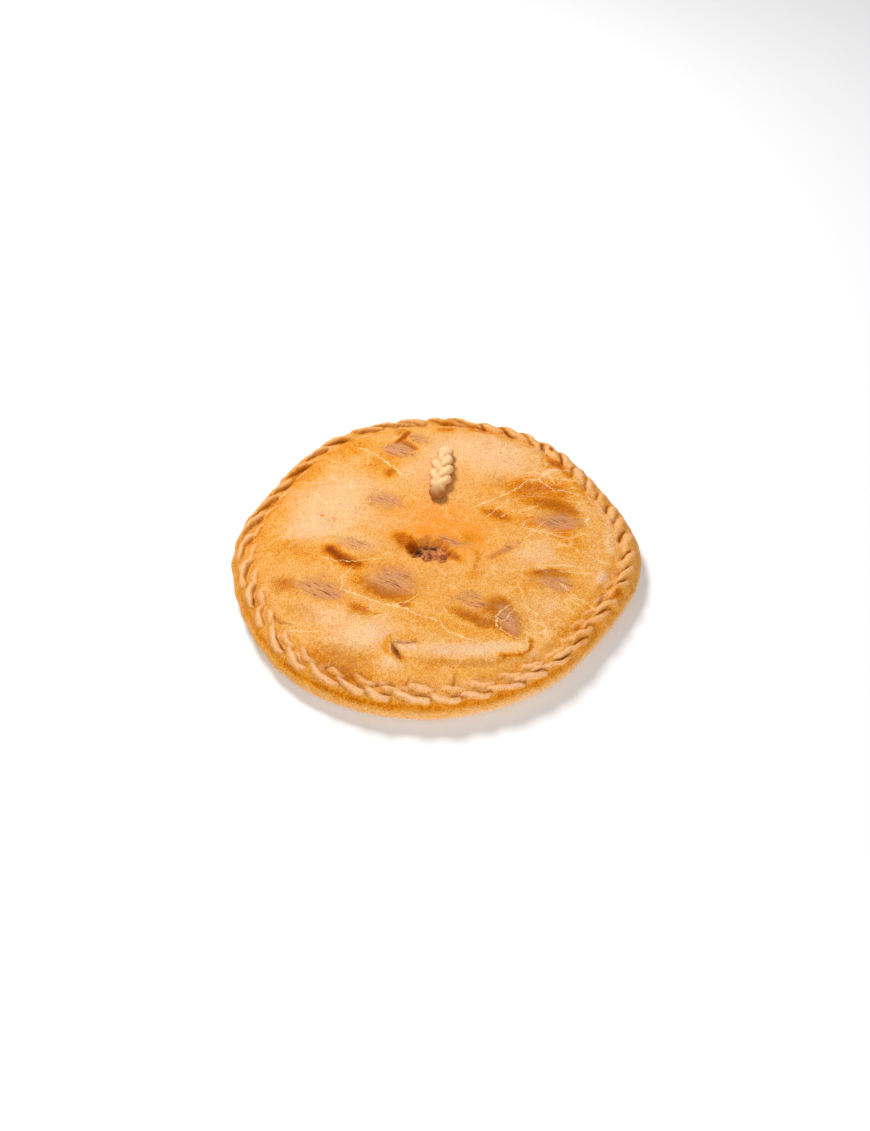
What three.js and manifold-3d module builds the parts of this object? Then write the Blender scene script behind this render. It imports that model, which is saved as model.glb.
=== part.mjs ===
// A round baked empanada: a domed dough crust with a twisted rope edge, low blisters, a long fold near
// the front, a torn steam vent with some filling showing, and a small plait of dough laid on the lid.
// Millimetres, +Z up, +Y away from the viewer. The origin is on the base, under the middle of the pie.
import * as THREE from "three";
import { mergeVertices } from "three/addons/utils/BufferGeometryUtils.js";
import Module from "manifold-3d";

const wasm = await Module();
wasm.setup();

// Driving dimensions of the pie
const MEAN_RADIUS = 150;
const EDGE_WIDTH = 20;
const EDGE_HEIGHT = 22;
const DOME_RISE = 6.4;
const DOME_SPREAD = 2.5;
const DOME_FULLNESS = 0.6;

// The hand-shaped outline: each wave adds its height to the radius, with its first crest at the turn
const OUTLINE_WAVES = [
  { count: 2, height: 3.1, turn: 128 },
  { count: 3, height: 1.9, turn: -23 },
  { count: 4, height: 1.2, turn: 3 },
  { count: 5, height: 0.8, turn: -58 },
  { count: 6, height: 1.7, turn: -10 },
  { count: 8, height: 0.6, turn: -25 },
];

// The twisted edge: slanting folds, each rising slowly to a crest and then dropping into a crease.
// They are crowded and flatter on the right, and their inner ends lap onto the lid
const FOLDS = 44;
const FOLD_DEPTH = 2.8;
const FOLD_MIDDLE = 0.6;
const FOLD_SLANT = 6;
const FOLD_CREST = 0.7;
const FOLD_CROWDING = 0.2;
const FOLD_FLATTENING = 0.25;
const FOLD_DRIFTS = [
  { count: 3, share: 0.02, turn: -57 },
  { count: 7, share: 0.012, turn: -115 },
];
const FOLD_UNEVENNESS = [
  { count: 5, share: 0.2, turn: -40 },
  { count: 11, share: 0.15, turn: -120 },
];
const FOLD_OUTER_END = [-5, 40];
const FOLD_INNER_END = [112, 150];
const CROWDING_ROUNDS = 12;
const VALLEY_ANGLE = 114;

// Relief of the lid. x and y are the middle of each form, turn is the angle of its length from +X
const BLISTERS = [
  { x: -62, y: -10, length: 40, width: 22, turn: -25, height: 2.6 },
  { x: -30, y: -43, length: 46, width: 30, turn: -20, height: 2.4 },
  { x: -86, y: -47, length: 56, width: 32, turn: -15, height: 2.4 },
  { x: -26, y: 104, length: 34, width: 24, turn: -15, height: 1.6 },
  { x: -11, y: 118, length: 26, width: 14, turn: -35, height: 1.8 },
  { x: 40, y: -70, length: 54, width: 30, turn: -27, height: 2.4 },
  { x: -72, y: 45, length: 90, width: 70, turn: 40, height: 2.4 },
  { x: 50, y: 96, length: 90, width: 60, turn: -25, height: 2.2 },
  { x: 122, y: -36, length: 20, width: 11, turn: 78, height: 2.2 },
  { x: -47, y: -94, length: 48, width: 30, turn: 10, height: 2.2 },
  { x: -4, y: -7, length: 62, width: 36, turn: -25, height: -3.0 },
  { x: 97, y: 30, length: 40, width: 20, turn: -20, height: -1.7 },
  { x: 86, y: -37, length: 36, width: 16, turn: -8, height: -1.6 },
  { x: -53, y: -67, length: 24, width: 14, turn: -15, height: -1.8 },
  { x: 46, y: 27, length: 32, width: 13, turn: -30, height: -1.5 },
];
const LONG_FOLD = { x: 24, y: -105, length: 100, width: 24, turn: 4, height: 3.4 };
const BLISTER_FALL = 1.4;
const LONG_FOLD_FALL = 0.8;
const RELIEF_FADE = [0.86, 0.98];

// Oval bowls sunk in the lid: the steam vent, with the filling that shows in it, and a small slit
const VENT = { x: -3, y: -9, length: 38, width: 25, depth: 7, turn: -20 };
const SLIT = { x: -26.5, y: -106, length: 12, width: 4, depth: 4, turn: -70 };
const BOWL_ANGLES = [22.5, 45, 67.5, 90];
const FILLING_ANGLE = 45;
const FILLING_SHARES = [0.8, 0.55, 0.28];
const FILLING_SWELL = 2.4;
const FILLING_LUMP = { height: 1.1, alongRate: 0.8, acrossRate: 1.1 };

// Plait of three rolled strands
const PLAIT = { x: 6, y: 69, length: 46, turn: 82, swing: 5.8, lift: 2.2, turns: 1.3 };
const GATHERED_END = { reach: 0.34, swing: 0.2 };
const STRAND_STEPS = 24;
const STRAND_SEGMENTS = 5;
const STRAND_RADIUS = 3.6;
const STRANDS = 3;
const PLAIT_SINK = 1.0;
const PINCHED_END = { along: 6.0, across: 6.6, high: 4.2 };

// Gap between pieces that rest on each other
const GAP = 0.35;

// Rows of points turn with the folds, so that each fold keeps its own points over the edge
const TWIST = -FOLD_SLANT / FOLDS;

// Points round the edge, the lid, the middle of the lid and a bowl
const EDGE_POINTS = 6 * FOLDS;
const LID_POINTS = EDGE_POINTS / 2;
const MIDDLE_POINTS = LID_POINTS / 2;
const BOWL_POINTS = 24;

const radians = THREE.MathUtils.degToRad;
const degrees = THREE.MathUtils.radToDeg;
const smoothstep = THREE.MathUtils.smoothstep;

// Shape of the crust

function outlineRadius(angle) {
  let radius = MEAN_RADIUS;
  for (const { count, height, turn } of OUTLINE_WAVES) {
    radius += height * Math.cos(count * angle - radians(turn));
  }
  return radius;
}

// Height of one fold across its width, from 0 in the crease to 1 on the crest
function foldProfile(phase) {
  const share = phase / (2 * Math.PI) - Math.floor(phase / (2 * Math.PI));
  const rising = share < FOLD_CREST;
  const way = rising ? share / FOLD_CREST : (1 - share) / (1 - FOLD_CREST);
  return 0.5 - 0.5 * Math.cos(Math.PI * way);
}

function waves(list, angle) {
  let total = 0;
  for (const { count, share, turn } of list) {
    total += share * Math.sin(count * angle - radians(turn));
  }
  return total;
}

// Folds are evenly spaced in turn. Crowding moves each turn to its angle round the pie
function crowdedAngle(turn) {
  return turn - FOLD_CROWDING * Math.sin(turn);
}

function foldTurn(angle) {
  let turn = angle;
  for (let round = 0; round < CROWDING_ROUNDS; round++) {
    turn += angle - crowdedAngle(turn);
  }
  return turn;
}

// The folds are uneven: their spacing and depth drift round the edge
function foldSwell(angle, sectionAngle) {
  const strength = 1 - FOLD_FLATTENING * Math.cos(angle) + waves(FOLD_UNEVENNESS, angle);
  const outer = smoothstep(degrees(sectionAngle), ...FOLD_OUTER_END);
  const inner = 1 - smoothstep(degrees(sectionAngle), ...FOLD_INNER_END);
  const phase = FOLDS * (foldTurn(angle) + waves(FOLD_DRIFTS, angle)) + FOLD_SLANT * sectionAngle;
  return FOLD_DEPTH * strength * outer * inner * (foldProfile(phase) - FOLD_MIDDLE);
}

// A point on the rounded edge. The section angle is -90 on the base, 0 outside and 90 on top
function edgePoint(angle, sectionAngle) {
  const swell = foldSwell(angle, sectionAngle);
  const inset = (EDGE_WIDTH / 2) * (Math.cos(sectionAngle) - 1) + swell * Math.cos(sectionAngle);
  const radius = outlineRadius(angle) + inset;
  const height = (EDGE_HEIGHT / 2) * (1 + Math.sin(sectionAngle)) + swell * Math.sin(sectionAngle);
  return new THREE.Vector3(radius * Math.cos(angle), radius * Math.sin(angle), Math.max(0, height));
}

function valleyRadius(angle) {
  return outlineRadius(angle) + (EDGE_WIDTH / 2) * (Math.cos(radians(VALLEY_ANGLE)) - 1);
}

const valleyHeight = (EDGE_HEIGHT / 2) * (1 + Math.sin(radians(VALLEY_ANGLE)));

// How far (x, y) lies from the middle of a form: 1 on its oval edge
function ovalDistance(form, x, y) {
  const turn = radians(form.turn);
  const along = (x - form.x) * Math.cos(turn) + (y - form.y) * Math.sin(turn);
  const across = (y - form.y) * Math.cos(turn) - (x - form.x) * Math.sin(turn);
  return Math.hypot(along / (form.length / 2), across / (form.width / 2));
}

function lidHeight(x, y) {
  const share = Math.min(1, Math.hypot(x, y) / valleyRadius(Math.atan2(y, x)));
  const dome = valleyHeight + DOME_RISE * (1 - share ** DOME_SPREAD) ** DOME_FULLNESS;
  const blisters = BLISTERS.reduce(
    (sum, form) => sum + form.height * Math.exp(-BLISTER_FALL * ovalDistance(form, x, y) ** 2),
    0,
  );
  const fold = LONG_FOLD.height * Math.exp(-LONG_FOLD_FALL * ovalDistance(LONG_FOLD, x, y) ** 4);
  return dome + (blisters + fold) * (1 - smoothstep(share, ...RELIEF_FADE));
}

// A point on the lid. Near the edge it is still raised by the ends of the folds
function lidPoint(angle, share) {
  const radius = share * valleyRadius(angle);
  const pastValley = (valleyRadius(angle) - radius) / ((EDGE_WIDTH + EDGE_HEIGHT) / 4);
  const x = radius * Math.cos(angle);
  const y = radius * Math.sin(angle);
  const height = lidHeight(x, y) + foldSwell(angle, radians(VALLEY_ANGLE) + pastValley);
  return new THREE.Vector3(x, y, height);
}

// Meshes and solids

function ring(count, pointAt, turn = 0) {
  return Array.from({ length: count }, (_, i) => pointAt((2 * Math.PI * i) / count + turn));
}

// A ring whose points are crowded where the folds are
function crowdedRing(count, pointAt, turn) {
  return ring(count, (evenTurn) => pointAt(crowdedAngle(evenTurn)), turn);
}

// Stitches rings of points into one closed skin. A ring may have half as many points as its neighbour
function skin(rings) {
  const starts = [];
  const points = [];
  for (const one of rings) {
    starts.push(points.length);
    points.push(...one);
  }
  const triangles = [];
  for (let row = 0; row + 1 < rings.length; row++) {
    const [lower, upper] = [rings[row].length, rings[row + 1].length];
    const steps = Math.max(lower, upper);
    const lowerIndex = (step) => Math.floor((step * lower) / steps);
    const upperIndex = (step) => Math.floor((step * upper) / steps);
    const a = (step) => starts[row] + (lowerIndex(step) % lower);
    const b = (step) => starts[row + 1] + (upperIndex(step) % upper);
    for (let step = 0; step < steps; step++) {
      const lowerMoves = lower > 1 && lowerIndex(step + 1) > lowerIndex(step);
      const upperMoves = upper > 1 && upperIndex(step + 1) > upperIndex(step);
      if (lowerMoves) {
        triangles.push(a(step), a(step + 1), b(step));
      }
      if (upperMoves) {
        triangles.push(a(step + 1), b(step + 1), b(step));
      }
    }
  }
  const geometry = new THREE.BufferGeometry().setFromPoints(points);
  geometry.setIndex(triangles);
  return geometry;
}

function solidOf(geometry) {
  const bare = geometry.clone();
  bare.deleteAttribute("normal");
  bare.deleteAttribute("uv");
  const merged = mergeVertices(bare, 1e-4);
  return new wasm.Manifold(
    new wasm.Mesh({
      numProp: 3,
      vertProperties: merged.attributes.position.array,
      triVerts: new Uint32Array(merged.index.array),
    }),
  );
}

function geometryOf(solid) {
  const mesh = solid.getMesh();
  const geometry = new THREE.BufferGeometry();
  geometry.setAttribute("position", new THREE.BufferAttribute(mesh.vertProperties, mesh.numProp));
  geometry.setIndex(new THREE.BufferAttribute(mesh.triVerts, 1));
  geometry.computeVertexNormals();
  return geometry;
}

// Crust with its vent and slit

function buildCrust() {
  const baseShares = [0.35, 0.8];
  const edgeAngles = [-90, -55, -25, 0, 22, 44, 66, 90, VALLEY_ANGLE];
  const borderShares = [0.975, 0.945];
  const lidShares = [0.905, 0.86, 0.805, 0.74, 0.67, 0.59];
  const middleShares = [0.5, 0.41, 0.32, 0.23, 0.14, 0.06];
  const footRadius = (angle) => outlineRadius(angle) - EDGE_WIDTH / 2;
  const basePoint = (share) => (angle) => {
    const radius = share * footRadius(angle);
    return new THREE.Vector3(radius * Math.cos(angle), radius * Math.sin(angle), 0);
  };
  const edgeRing = (sectionDegrees) => {
    const sectionAngle = radians(sectionDegrees);
    return crowdedRing(EDGE_POINTS, (angle) => edgePoint(angle, sectionAngle), TWIST * sectionAngle);
  };
  const baseTurn = TWIST * radians(edgeAngles[0]);
  const lidTurn = TWIST * radians(VALLEY_ANGLE);
  const lidRing = (count) => (share) => crowdedRing(count, (angle) => lidPoint(angle, share), lidTurn);
  const rings = [
    [new THREE.Vector3(0, 0, 0)],
    crowdedRing(MIDDLE_POINTS, basePoint(baseShares[0]), baseTurn),
    crowdedRing(LID_POINTS, basePoint(baseShares[1]), baseTurn),
    ...edgeAngles.map(edgeRing),
    ...borderShares.map(lidRing(EDGE_POINTS)),
    ...lidShares.map(lidRing(LID_POINTS)),
    ...middleShares.map(lidRing(MIDDLE_POINTS)),
    [new THREE.Vector3(0, 0, lidHeight(0, 0))],
  ];
  return solidOf(skin(rings)).subtract(bowlCutter(VENT)).subtract(bowlCutter(SLIT));
}

// Rings of an oval bowl, from its bottom up to an angle, drawn in by a gap
function bowlRings(form, gap, highest) {
  const angles = BOWL_ANGLES.filter((angle) => angle <= highest);
  const rings = angles.map((bowlAngle) => {
    const across = Math.sin(radians(bowlAngle));
    const height = -(form.depth - gap) * Math.cos(radians(bowlAngle));
    return ring(BOWL_POINTS, (angle) => bowlPoint(form, gap, across, angle, height));
  });
  return [[new THREE.Vector3(0, 0, gap - form.depth)], ...rings];
}

function bowlPoint(form, gap, share, angle, height) {
  const along = (form.length / 2 - gap) * share * Math.cos(angle);
  const across = (form.width / 2 - gap) * share * Math.sin(angle);
  return new THREE.Vector3(along, across, height);
}

function placedInLid(form, solid) {
  return solid.rotate([0, 0, form.turn]).translate([form.x, form.y, lidHeight(form.x, form.y)]);
}

function bowlCutter(form) {
  const top = ring(BOWL_POINTS, (angle) => bowlPoint(form, 0, 1, angle, form.depth));
  const lid = [new THREE.Vector3(0, 0, form.depth)];
  return placedInLid(form, solidOf(skin([...bowlRings(form, 0, 90), top, lid])));
}

// The filling lies in the vent, some way below the lid, with a lumpy top
function buildFilling() {
  const level = -(VENT.depth - GAP) * Math.cos(radians(FILLING_ANGLE));
  const topPoint = (share) => (angle) => {
    const point = bowlPoint(VENT, GAP, share * Math.sin(radians(FILLING_ANGLE)), angle, level);
    const { height, alongRate, acrossRate } = FILLING_LUMP;
    const lump = height * Math.sin(alongRate * point.x) * Math.cos(acrossRate * point.y);
    point.z += (1 - share ** 2) * (FILLING_SWELL + lump);
    return point;
  };
  const top = FILLING_SHARES.map((share) => ring(BOWL_POINTS, topPoint(share)));
  const rings = [...bowlRings(VENT, GAP, FILLING_ANGLE), ...top, [topPoint(0)(0)]];
  return placedInLid(VENT, solidOf(skin(rings)));
}

// Plait

function buildPlait(crust) {
  const section = new THREE.Shape().absarc(0, 0, STRAND_RADIUS, 0, 2 * Math.PI);
  const full = 2 * Math.PI * PLAIT.turns;
  const strands = Array.from({ length: STRANDS }, (_, strand) => {
    const points = Array.from({ length: STRAND_STEPS + 1 }, (_, i) => {
      const share = i / STRAND_STEPS;
      const phase = share * full + (2 * Math.PI * strand) / STRANDS;
      const fromEnd = Math.min(share, 1 - share);
      const spread = smoothstep(fromEnd, 0, GATHERED_END.reach);
      const gather = GATHERED_END.swing + (1 - GATHERED_END.swing) * spread;
      return new THREE.Vector3(
        (share - 0.5) * PLAIT.length,
        gather * PLAIT.swing * Math.sin(phase),
        gather * PLAIT.lift * Math.sin(2 * phase),
      );
    });
    const extrudePath = new THREE.CatmullRomCurve3(points);
    const options = { steps: STRAND_STEPS, curveSegments: STRAND_SEGMENTS, extrudePath };
    return solidOf(new THREE.ExtrudeGeometry(section, options));
  });
  const ends = [-0.5, 0.5].map((side) => {
    const end = new THREE.SphereGeometry(1, 12, 8);
    end.scale(PINCHED_END.along, PINCHED_END.across, PINCHED_END.high);
    end.translate(side * PLAIT.length, 0, 0);
    return solidOf(end);
  });
  const height = lidHeight(PLAIT.x, PLAIT.y) + STRAND_RADIUS + PLAIT.lift - PLAIT_SINK;
  const plait = [...strands, ...ends].reduce((sum, piece) => sum.add(piece));
  return plait
    .rotate([0, 0, PLAIT.turn])
    .translate([PLAIT.x, PLAIT.y, height])
    .subtract(crust.translate([0, 0, GAP]));
}

// Materials and scene graph

const bakedCrust = new THREE.MeshStandardMaterial({ color: 0xeba456, roughness: 0.5, metalness: 0 });
const paleDough = new THREE.MeshStandardMaterial({ color: 0xf6cc98, roughness: 0.65, metalness: 0 });
const cookedFilling = new THREE.MeshStandardMaterial({ color: 0x9a5a34, roughness: 0.6, metalness: 0 });

// The pieces are shaped about the middle of the mean circle, then moved so the outline is centred
const crust = buildCrust();
const { min, max } = crust.boundingBox();
const middle = [-(min[0] + max[0]) / 2, -(min[1] + max[1]) / 2, 0];

function piece(name, solid, material) {
  const mesh = new THREE.Mesh(geometryOf(solid.translate(middle)), material);
  mesh.name = name;
  return mesh;
}

const empanada = new THREE.Group();
empanada.name = "empanada";
empanada.add(piece("crust", crust, bakedCrust));
empanada.add(piece("filling", buildFilling(), cookedFilling));
empanada.add(piece("dough_plait", buildPlait(crust), paleDough));

export default empanada;
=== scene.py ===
import bpy
import math
import random
import numpy as np
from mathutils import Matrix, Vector, noise


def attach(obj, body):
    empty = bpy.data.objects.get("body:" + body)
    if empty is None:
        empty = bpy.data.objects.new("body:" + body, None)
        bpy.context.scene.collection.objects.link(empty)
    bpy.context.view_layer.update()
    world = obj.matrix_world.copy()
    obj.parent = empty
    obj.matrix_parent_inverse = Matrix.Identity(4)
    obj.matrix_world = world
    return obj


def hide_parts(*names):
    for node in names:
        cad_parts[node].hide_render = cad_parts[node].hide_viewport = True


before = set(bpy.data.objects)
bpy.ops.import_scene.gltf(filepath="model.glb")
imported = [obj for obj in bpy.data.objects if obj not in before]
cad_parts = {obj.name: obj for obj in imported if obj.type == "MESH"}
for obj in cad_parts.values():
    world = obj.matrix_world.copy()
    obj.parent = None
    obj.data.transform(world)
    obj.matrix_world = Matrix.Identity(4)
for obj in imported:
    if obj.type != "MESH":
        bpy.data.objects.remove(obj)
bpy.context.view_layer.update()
print("frame loaded")


# small tools used all through, points are in millimetres

def selectOnly(*pieces):  # the first becomes the active one
    bpy.ops.object.select_all(action="DESELECT")
    for piece in pieces:
        piece.select_set(True)
    if pieces:
        bpy.context.view_layer.objects.active = pieces[0]


def setMode(mode):
    bpy.ops.object.mode_set(mode=mode)


def fitActive(size, place=(0, 0, 0)):  # scales the active mesh about the origin, then moves it
    setMode("EDIT")
    bpy.ops.mesh.select_all(action="SELECT")
    bpy.ops.transform.resize(value=size, center_override=(0, 0, 0))
    bpy.ops.transform.translate(value=place)
    bpy.ops.mesh.select_all(action="DESELECT")
    setMode("OBJECT")


def readPoints(piece):
    points = np.empty(len(piece.data.vertices) * 3)
    piece.data.vertices.foreach_get("co", points)
    return points.reshape(-1, 3) * 1000


def writePoints(piece, points):
    piece.data.vertices.foreach_set("co", (points / 1000).ravel())
    piece.data.update()


def paintMasks(piece, **masks):
    for name, values in masks.items():
        layer = piece.data.attributes.new(name, "FLOAT", "POINT")
        layer.data.foreach_set("value", np.asarray(values, dtype=np.float32))


def applyModifier(piece, kind, **values):
    selectOnly(piece)
    modifier = piece.modifiers.new(kind.title(), kind)
    for key, value in values.items():
        setattr(modifier, key, value)
    bpy.ops.object.modifier_apply(modifier=modifier.name)


def softStep(value, low, high):
    share = np.clip((value - low) / (high - low), 0, 1)
    return share * share * (3 - 2 * share)


def bell(value):
    return np.exp(-(value ** 2))


def towards(angle, turn):  # 1 where the pie faces the turn, 0 on the far half
    return np.maximum(0, np.cos(angle - turn))


def noiseAt(points, size, seed):
    drift = Vector((seed * 17.3, seed * 9.1, seed * 5.7))
    return np.array([noise.noise(Vector(point) / size + drift) for point in points])


def pathDistance(x, y, path):  # distance to a bent line, and the same with its side as the sign
    near = np.full(x.shape, 1e6)
    side = np.full(x.shape, 1e6)
    for (ax, ay), (bx, by) in zip(path, path[1:]):
        length = math.hypot(bx - ax, by - ay)
        ux, uy = (bx - ax) / length, (by - ay) / length
        along = np.clip((x - ax) * ux + (y - ay) * uy, 0, length)
        away = np.hypot(x - ax - along * ux, y - ay - along * uy)
        closer = away < near
        near = np.where(closer, away, near)
        side = np.where(closer, np.where((y - ay) * ux - (x - ax) * uy < 0, -away, away), side)
    return near, side


# crust: the whole pie, one baked piece

crustShape = dict(
    radius=150.0,
    edgeWidth=20.0,
    edgeHeight=22.0,
    valleyAngle=114.0,  # where the rolled edge meets the lid, 90 is the top of the roll
    domeRise=6.4,
    domeFullness=0.6,
    domeSpread=2.5,
    outlineWaves=[(2, 3.1, 128), (3, 1.9, -23), (4, 1.2, 3), (5, 0.8, -58), (6, 1.7, -10), (8, 0.6, -25)],
    millimetresPerDegree=0.184,  # over the top of the roll
    lidCells=208,  # a fourth of the steps round the edge
    sectionPoints=90,
)

# the twisted edge: slanting lobes of dough that lap over each other along the top of the roll
edgeLobes = dict(
    seed=21,
    count=44,  # even, so that every crease lies between an even lobe and an odd one
    crowd=0.2,  # how much closer together they are on the right
    uneven=0.16,  # how much one differs from the next
    slim=0.3,  # how much narrower they are on the left
    overlap=(1.3, 1.6),  # width against the room for each
    bend=0.5,
    sunk=1.7,
    cut=0.4,
    scallop=1.3,  # bulge of the outside at the outer end of each
    line=142.0,  # radius of the line they lie on
    # the lower row inside them
    inner=dict(forward=6, inward=8, length=20, width=8.0, slant=16, lean=0.2, pale=0.55),
    places=[  # degrees: slant, reach, middle over the roll, height, lean, pale crest (paler dough with painted highlight), inner row
        (-180, 19, 11, 14.5, 3.8, 0.35, 0.6, 0.8),
        (-140, 20, 10, 14.3, 4.0, 0.3, 0.85, 0.95),
        (-95, 18, 7.5, 12.0, 4.4, 0.0, 1.0, 0.9),
        (-50, 14, 8.5, 12.5, 3.9, 0.1, 0.65, 0.6),
        (-20, 26, 12, 15.0, 3.2, 0.3, 0.35, 0.1),
        (20, 36, 16, 17.0, 2.9, 0.45, 0.5, 0.0),
        (55, 28, 15, 15.0, 2.6, 0.4, 0.4, 0.0),
        (90, 18, 10, 14.0, 2.9, 0.35, 0.25, 0.2),
        (135, 16, 10, 15.0, 3.4, 0.35, 0.35, 0.4),
        (180, 19, 11, 14.5, 3.8, 0.35, 0.6, 0.8),
    ],
    bitLine=138.0,
    # torn bits of dough inside the edge: degrees round it, place over the roll, length, width, turn, height
    bits=[
        (-131, 20.5, 12, 8, 20, 1.6), (-140.5, 20, 7, 6, 0, 1.2), (-147.5, 20, 13, 7, -25, 1.4),
        (-123, 21, 13, 6, 10, 1.0), (-97, 23, 20, 5, 5, 0.8), (-80, 24, 16, 5, -4, 0.7),
    ],
)

# the lid stands over the edge on the right
lidLip = dict(turn=25, spread=48, share=0.955, width=0.03, height=1.5)

# swells and hollows of the lid: x, y, length, width, turn, height
lidSwells = [
    (-62, -10, 36, 20, -25, 1.4),
    (-30, -42, 44, 28, -20, 1.5),
    (-86, -47, 56, 32, -15, 2.4),
    (-26, 104, 34, 24, -15, 1.6),
    (-11, 118, 26, 14, -35, 1.8),
    (40, -68, 54, 28, -25, 1.4),
    (-72, 45, 90, 70, 40, 2.4),
    (50, 96, 90, 60, -25, 2.2),
    (122, -36, 20, 11, 78, 2.2),
    (-47, -94, 48, 30, 10, 2.2),
    (-28, -119, 24, 15, 0, 1.6),
    (24, -18, 16, 22, 25, 1.4),
    (-4, -7, 62, 36, -25, -3.0),
    (97, 30, 40, 20, -20, -1.7),
    (86, -37, 36, 16, -8, -1.6),
    (-53, -67, 24, 14, -15, -1.8),
    (46, 27, 32, 13, -30, -1.5),
    (-38, 42, 30, 20, -20, -0.7),
    (-20, -3, 26, 18, -30, -3.0),
    (62, -119, 40, 14, 15, -1.0),
    (-62, -118, 40, 24, -20, -1.0),
    (85, 63, 50, 14, 0, -1.0),
]

# cuts and wrinkles pressed into the lid: path, width, depth, darkness of their painted shade
lidCreases = [
    ([(-28, -100), (-26.3, -105), (-22.5, -112.5)], 1.6, 3.2, 0.2),
    ([(-25, -99), (-20, -100.5), (-12.5, -99.5)], 1.1, 1.6, 0.5),
    ([(-21, 124), (-24, 118), (-29, 112)], 1.6, 1.4, 0.15),
    ([(-24, 112), (-19, 108), (-15, 103)], 1.6, 1.2, 0.15),
    ([(-112, -73), (-107, -78), (-98, -81)], 0.9, 0.9, 0.4),
    ([(-79, -119), (-74, -119.5), (-69, -117.5)], 1.2, 1.3, 0.45),
    ([(-38, -134), (-33, -134.5), (-27, -134)], 1.1, 1.2, 0.45),
    ([(-19, -134), (-17.5, -131), (-16, -128)], 0.9, 0.9, 0.35),
    ([(13, -136), (13.5, -131), (14.5, -126)], 0.9, 0.9, 0.35),
    ([(116, -63), (118, -58), (121, -50)], 1.0, 0.9, 0.35),
    ([(102, -87), (105, -82), (111, -77)], 1.0, 0.9, 0.35),
]

# steps in the lid, high on the left of each path: path, height, width of the drop, length of the back slope
lidSteps = [
    ([(-18, -112), (-4, -115), (18, -117), (38, -115), (52, -112.5), (62, -110), (68, -103), (68, -97)],
     3.8, 4.2, 16.0),
    ([(-81, -4), (-74, -13), (-66, -21), (-54, -28)], 2.6, 4.0, 20.0),
    ([(-50, -44), (-42, -53), (-26, -60), (-8, -56)], 1.6, 6.0, 22.0),
    ([(12, -72), (30, -79), (46, -87), (58, -97)], 1.8, 6.0, 22.0),
    ([(78, 40), (95, 41), (109, 32)], 1.3, 8.0, 16.0),
    ([(72, -32), (84, -30), (97, -36)], 1.1, 4.0, 14.0),
    ([(27, -33), (31, -25), (32.5, -17), (30, -10)], 1.0, 1.6, 8.0),
]
steamVent = dict(x=-3, y=-9, length=38, width=25, turn=-20, depth=7.0)
lidSlit = dict(x=-26.3, y=-106, length=16, width=5.0, turn=-64)  # the hole in the small cut, painted dark as shade


valleyTurn = math.radians(crustShape["valleyAngle"])
valleyHeight = crustShape["edgeHeight"] / 2 * (1 + math.sin(valleyTurn))
valleyInset = crustShape["edgeWidth"] / 2 * (1 - math.cos(valleyTurn))
flatValley = crustShape["radius"] - valleyInset  # before the outline gets its waves


def outlineRadius(angle):
    total = np.full_like(angle, crustShape["radius"])
    for count, height, turn in crustShape["outlineWaves"]:
        total = total + height * np.cos(count * angle - math.radians(turn))
    return total


def valleyRadius(angle):
    return outlineRadius(angle) - valleyInset


def ovalDistance(x, y, middleX, middleY, length, width, turn):  # 1 on the edge of the oval
    cosine, sine = math.cos(math.radians(turn)), math.sin(math.radians(turn))
    along = (x - middleX) * cosine + (y - middleY) * sine
    across = (y - middleY) * cosine - (x - middleX) * sine
    return np.hypot(along / (length / 2), across / (width / 2))


def ventDistance(x, y):
    oval = [steamVent[key] for key in ("x", "y", "length", "width", "turn")]
    ragged = 0.10 * np.sin(0.55 * x + 1.0) + 0.08 * np.sin(0.8 * y - 0.4 * x)
    return ovalDistance(x, y, *oval) + ragged


def domeHeight(x, y):
    share = np.minimum(1, np.hypot(x, y) / valleyRadius(np.arctan2(y, x)))
    crown = (1 - share ** crustShape["domeSpread"]) ** crustShape["domeFullness"]
    return valleyHeight + crustShape["domeRise"] * crown, share


def stepHeight(x, y, path, height, drop, back):  # a swelling that ends in a steep face
    side = pathDistance(x, y, path)[1]
    (startX, startY), (endX, endY) = path[0], path[-1]
    span = math.hypot(endX - startX, endY - startY)
    along = ((x - startX) * (endX - startX) + (y - startY) * (endY - startY)) / span
    reach = softStep(along, -0.12 * span, 0.2 * span) * (1 - softStep(along, 0.85 * span, 1.05 * span))
    return height * reach * softStep(side, -drop, 1.0) * np.exp(-np.maximum(side, 0) / back)


def lidHeight(x, y):
    height, share = domeHeight(x, y)
    inside = 1 - softStep(share, 0.88, 0.99)
    for *oval, rise in lidSwells:
        height = height + inside * rise * np.exp(-1.4 * ovalDistance(x, y, *oval) ** 2)
    for step in lidSteps:
        height = height + inside * stepHeight(x, y, *step)
    turn = (np.degrees(np.arctan2(y, x)) - lidLip["turn"]) / lidLip["spread"]
    lip = bell((share - lidLip["share"]) / lidLip["width"])
    height = height + lidLip["height"] * lip * bell(turn)
    for path, width, depth, dark in lidCreases:
        height = height - depth * bell(pathDistance(x, y, path)[0] / width)
    return height - steamVent["depth"] * (1 - softStep(ventDistance(x, y), 0.66, 1.06))


def lidTopAt(x, y):  # the same for one place
    return float(lidHeight(np.array([float(x)]), np.array([float(y)]))[0])


def runPast(angle, middle, radius):  # millimetres round the edge from the middle
    return ((angle - middle + math.pi) % (2 * math.pi) - math.pi) * radius


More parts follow.
